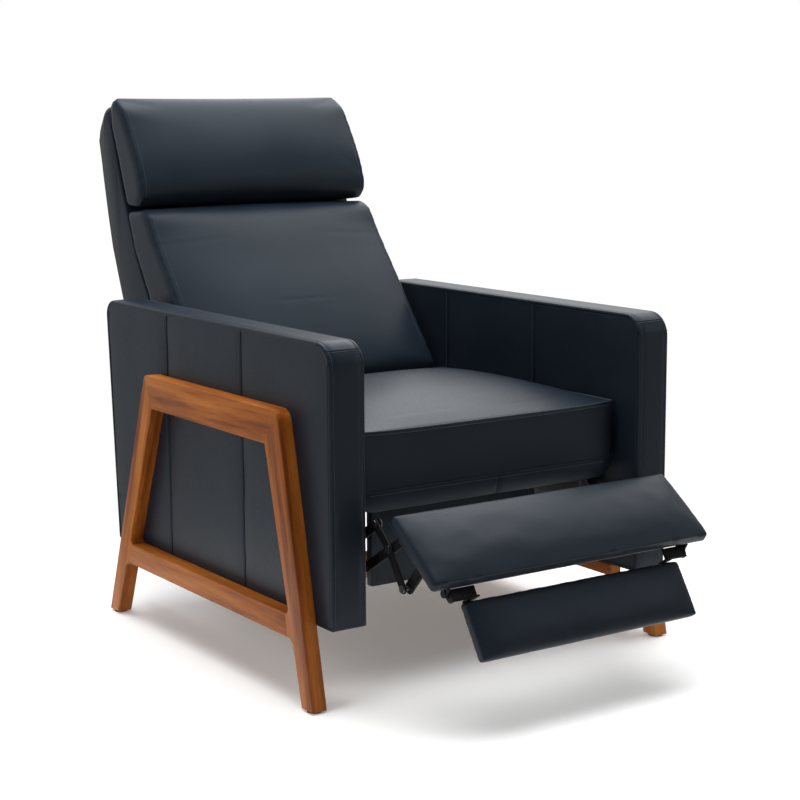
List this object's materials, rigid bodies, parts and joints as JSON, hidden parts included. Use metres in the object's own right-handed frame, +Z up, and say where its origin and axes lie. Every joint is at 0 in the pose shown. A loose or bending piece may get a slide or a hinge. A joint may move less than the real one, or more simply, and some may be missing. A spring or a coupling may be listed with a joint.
{
  "type": "recliner armchair",
  "caption": "Push-back recliner armchair: leather cushions and box arms on splayed wooden side frames, with a folding two-board footrest on a scissor linkage and a reclining back.",
  "frame": {"origin": "on the floor at the middle of the chair's footprint, footrest partly open", "axes": "+Z up, -Y the chair's front, +X the sitter's left"},
  "size_m": [0.74, 1.2098, 0.947],
  "materials": {
    "stained_wood": "satin walnut stain",
    "frame_wood": "raw plywood",
    "leather": "smooth semi-matt",
    "cushion": "smooth semi-matt over foam",
    "black_plastic": "matt",
    "rivet_steel": "satin",
    "black_steel": "satin black"
  },
  "bodies": {
    "base": {"left_front_leg": "stained_wood", "right_front_leg": "stained_wood", "left_rear_leg": "stained_wood", "right_rear_leg": "stained_wood", "left_top_rail": "stained_wood", "right_top_rail": "stained_wood", "left_lower_rail": "stained_wood", "right_lower_rail": "stained_wood", "frame_bolts": "rivet_steel", "foot_glides": "black_plastic", "left_arm_frame": "frame_wood", "right_arm_frame": "frame_wood", "left_arm_cover": "leather", "right_arm_cover": "leather", "left_arm_runner": "stained_wood", "right_arm_runner": "stained_wood", "left_guide_rail": "black_steel", "right_guide_rail": "black_steel", "front_cross_rail": "frame_wood", "rear_cross_rail": "frame_wood"},
    "seat": {"left_side_plate": "black_steel", "right_side_plate": "black_steel", "glide_rollers": "black_plastic", "ground_pins": "rivet_steel", "hinge_pins": "rivet_steel", "seat_deck": "frame_wood", "seat_border": "leather", "kick_panel": "leather", "seat_cushion": "cushion"},
    "back": {"back_shell": "leather", "back_posts": "frame_wood", "back_rails": "frame_wood", "left_back_bracket": "black_steel", "right_back_bracket": "black_steel", "lumbar_cushion": "cushion", "head_pillow": "cushion"},
    "drive_links": {"left_drive_link": "black_steel", "right_drive_link": "black_steel", "torque_tube": "black_steel", "drive_rivets": "rivet_steel"},
    "carrier_links": {"left_carrier_link": "black_steel", "right_carrier_link": "black_steel", "carrier_rivets": "rivet_steel"},
    "long_links": {"left_long_link": "black_steel", "right_long_link": "black_steel", "long_link_rivets": "rivet_steel"},
    "ottoman_links": {"left_ottoman_link": "black_steel", "right_ottoman_link": "black_steel", "ottoman_link_rivets": "rivet_steel"},
    "control_links": {"left_control_link": "black_steel", "right_control_link": "black_steel"},
    "footrest": {"left_ottoman_bracket": "black_steel", "right_ottoman_bracket": "black_steel", "footrest_board": "frame_wood", "footrest_pad": "leather", "board_rivets": "rivet_steel"},
    "flipper": {"left_flipper_bracket": "black_steel", "right_flipper_bracket": "black_steel", "flipper_board": "frame_wood", "flipper_pad": "leather"}
  },
  "joints": [
    {"name": "seat_glide", "type": "slide", "parent": "base", "child": "seat", "axis": [0, -1, 0], "range_m": [0, 0.045]},
    {"name": "back_recline", "type": "hinge", "parent": "seat", "child": "back", "pos_m": [0, 0.29, 0.322], "axis": [-1, 0, 0], "range_deg": [0, 35]},
    {"name": "footrest_open", "type": "hinge", "parent": "seat", "child": "drive_links", "pos_m": [0, -0.24256, 0.29604], "axis": [-1, 0, 0], "range_deg": [-36.5, 5]},
    {"name": "carrier_turn", "type": "hinge", "parent": "drive_links", "child": "carrier_links", "pos_m": [0, -0.29808, 0.24818], "axis": [-1, 0, 0], "range_deg": [-10, 73]},
    {"name": "long_link_turn", "type": "hinge", "parent": "carrier_links", "child": "long_links", "pos_m": [0, -0.3709, 0.2928], "axis": [-1, 0, 0], "range_deg": [-73, 10]},
    {"name": "ottoman_link_turn", "type": "hinge", "parent": "long_links", "child": "ottoman_links", "pos_m": [0, -0.40915, 0.25983], "axis": [-1, 0, 0], "range_deg": [-10, 73]},
    {"name": "control_link_turn", "type": "hinge", "parent": "long_links", "child": "control_links", "pos_m": [0, -0.44784, 0.20507], "axis": [-1, 0, 0], "range_deg": [-10, 73]},
    {"name": "board_tilt", "type": "hinge", "parent": "ottoman_links", "child": "footrest", "pos_m": [0, -0.43848, 0.2778], "axis": [-1, 0, 0], "range_deg": [-90.52, 12.4]},
    {"name": "flipper_fold", "type": "hinge", "parent": "footrest", "child": "flipper", "pos_m": [0, -0.53169, 0.21393], "axis": [-1, 0, 0], "range_deg": [-156.95, 21.5]}
  ],
  "couplings": [
    {"joint": "seat_glide", "follows": "back_recline", "m_per_rad": 0.073666},
    {"joint": "carrier_turn", "follows": "footrest_open", "ratio": -2},
    {"joint": "long_link_turn", "follows": "footrest_open", "ratio": 2},
    {"joint": "ottoman_link_turn", "follows": "footrest_open", "ratio": -2},
    {"joint": "control_link_turn", "follows": "footrest_open", "ratio": -2},
    {"joint": "board_tilt", "follows": "footrest_open", "ratio": 2.48},
    {"joint": "flipper_fold", "follows": "footrest_open", "ratio": 4.3}
  ]
}
